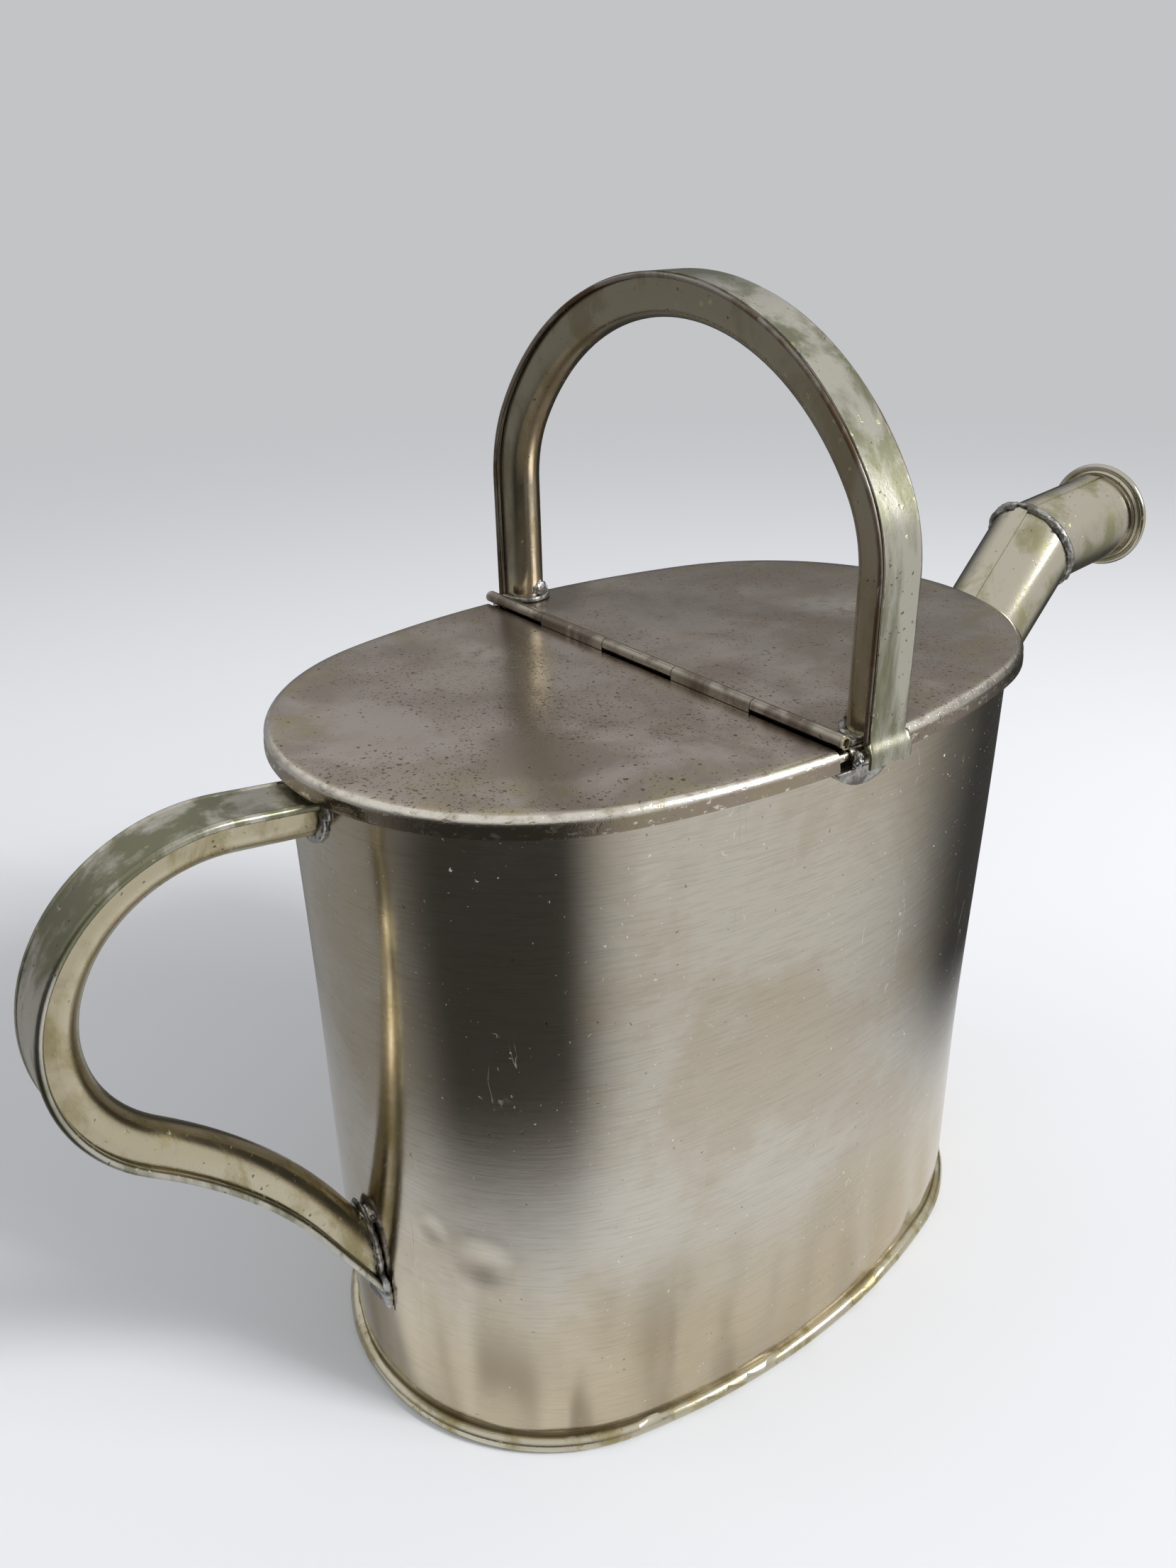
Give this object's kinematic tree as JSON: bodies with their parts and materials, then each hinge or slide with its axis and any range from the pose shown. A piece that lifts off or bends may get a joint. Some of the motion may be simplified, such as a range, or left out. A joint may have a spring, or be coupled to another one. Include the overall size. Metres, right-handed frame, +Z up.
{
  "type": "watering can",
  "caption": "Oval sheet-metal watering can with a hinged half lid, a carrying handle arched over the top, a rear tipping handle and a wide elbowed spout.",
  "frame": {"origin": "middle of the base, on the surface the can stands on", "axes": "+Z up, +X from the rear handle towards the spout, +Y to the can's left side seen from the rear handle"},
  "size_m": [0.4802, 0.1904, 0.3685],
  "materials": {
    "wall_metal": "worn nickel plate, fine scratches and soft dents",
    "foot_metal": "brighter worn nickel plate with tarnish specks",
    "cover_metal": "satin nickel plate with short dark pits",
    "hinge_metal": "dark oxidised sheet",
    "strap_metal": "worn nickel over brass, greenish tarnish",
    "channel_metal": "dull nickel plate",
    "spout_metal": "worn nickel plate, yellow-green tarnish",
    "iron_wire": "plain drawn iron wire",
    "solder": "lumpy tin-lead solder, dulled"
  },
  "bodies": {
    "can": {"body_wall": "wall_metal", "body_rim_wire": "iron_wire", "bottom_plate": "wall_metal", "foot_rim": "foot_metal", "foot_wire": "iron_wire", "front_cover": "cover_metal", "cover_hinge_leaf": "hinge_metal", "hinge_pin": "iron_wire", "hinge_end_solder": "solder", "top_handle_strap": "strap_metal", "top_handle_channel": "channel_metal", "top_handle_edge_wires": "iron_wire", "top_handle_solder": "solder", "rear_handle_strap": "strap_metal", "rear_handle_channel": "channel_metal", "rear_handle_edge_wires": "iron_wire", "rear_handle_upper_solder": "solder", "rear_handle_lower_solder": "solder", "spout_lower_tube": "spout_metal", "spout_upper_tube": "spout_metal", "spout_elbow_solder": "solder", "spout_base_solder": "solder", "spout_lip": "spout_metal", "spout_lip_wire": "iron_wire"},
    "lid": {"lid_plate": "cover_metal", "lid_hinge_leaf": "hinge_metal"}
  },
  "joints": [
    {"name": "lid_hinge", "type": "hinge", "parent": "can", "child": "lid", "pos_m": [-0.0125, 0, 0.2501], "axis": [0, 1, 0], "range_deg": [0, 92.5]}
  ]
}
